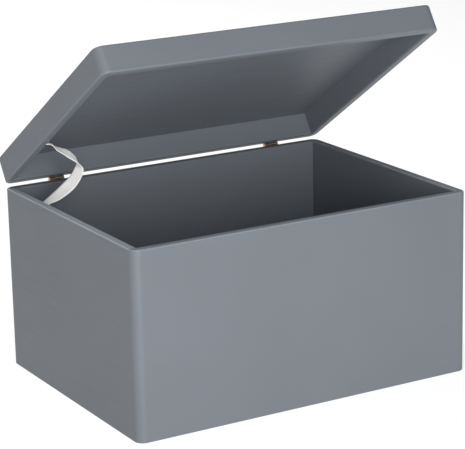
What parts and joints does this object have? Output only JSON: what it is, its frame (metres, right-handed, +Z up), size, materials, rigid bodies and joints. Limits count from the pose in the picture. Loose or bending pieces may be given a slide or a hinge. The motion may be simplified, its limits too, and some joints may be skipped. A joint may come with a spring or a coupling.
{
  "type": "wooden storage box with hinged lid",
  "caption": "Painted wooden storage box with a shallow lid hinged at the back, shown part open, with a white ribbon stay on the left.",
  "frame": {"origin": "Centre of the body's underside, on the surface it stands on", "axes": "+X to the right along the length, +Y to the back where the hinges are, +Z up"},
  "size_m": [0.4, 0.316, 0.3904],
  "materials": {
    "grey_paint": "satin grey paint over solid wood and plywood",
    "brass": "antiqued brass",
    "plated_screw": "nickel plated",
    "steel_nail": "bright steel",
    "ribbon": "woven cotton tape"
  },
  "bodies": {
    "box": {"body_front_panel": "grey_paint", "body_back_panel": "grey_paint", "body_left_panel": "grey_paint", "body_right_panel": "grey_paint", "body_bottom_panel": "grey_paint", "body_corner_nails": "grey_paint", "bottom_panel_nails": "steel_nail", "hinge_left_body_leaf": "brass", "hinge_left_pin": "brass", "hinge_left_body_screws": "brass", "hinge_right_body_leaf": "brass", "hinge_right_pin": "brass", "hinge_right_body_screws": "brass", "ribbon_body_screw": "plated_screw", "ribbon_body_washer": "plated_screw", "ribbon_stay": "ribbon"},
    "lid": {"lid_front_rail": "grey_paint", "lid_back_rail": "grey_paint", "lid_left_rail": "grey_paint", "lid_right_rail": "grey_paint", "lid_top_panel": "grey_paint", "lid_corner_nails": "grey_paint", "top_panel_nails": "grey_paint", "hinge_left_lid_leaf": "brass", "hinge_left_lid_screws": "brass", "hinge_right_lid_leaf": "brass", "hinge_right_lid_screws": "brass", "ribbon_lid_screw": "plated_screw", "ribbon_lid_washer": "plated_screw"}
  },
  "joints": [
    {"name": "lid_hinge", "type": "hinge", "parent": "box", "child": "lid", "pos_m": [0, 0.1532, 0.20025], "axis": [-1, 0, 0], "range_deg": [-33.2, 56.8], "deforming": ["ribbon_stay"]}
  ]
}
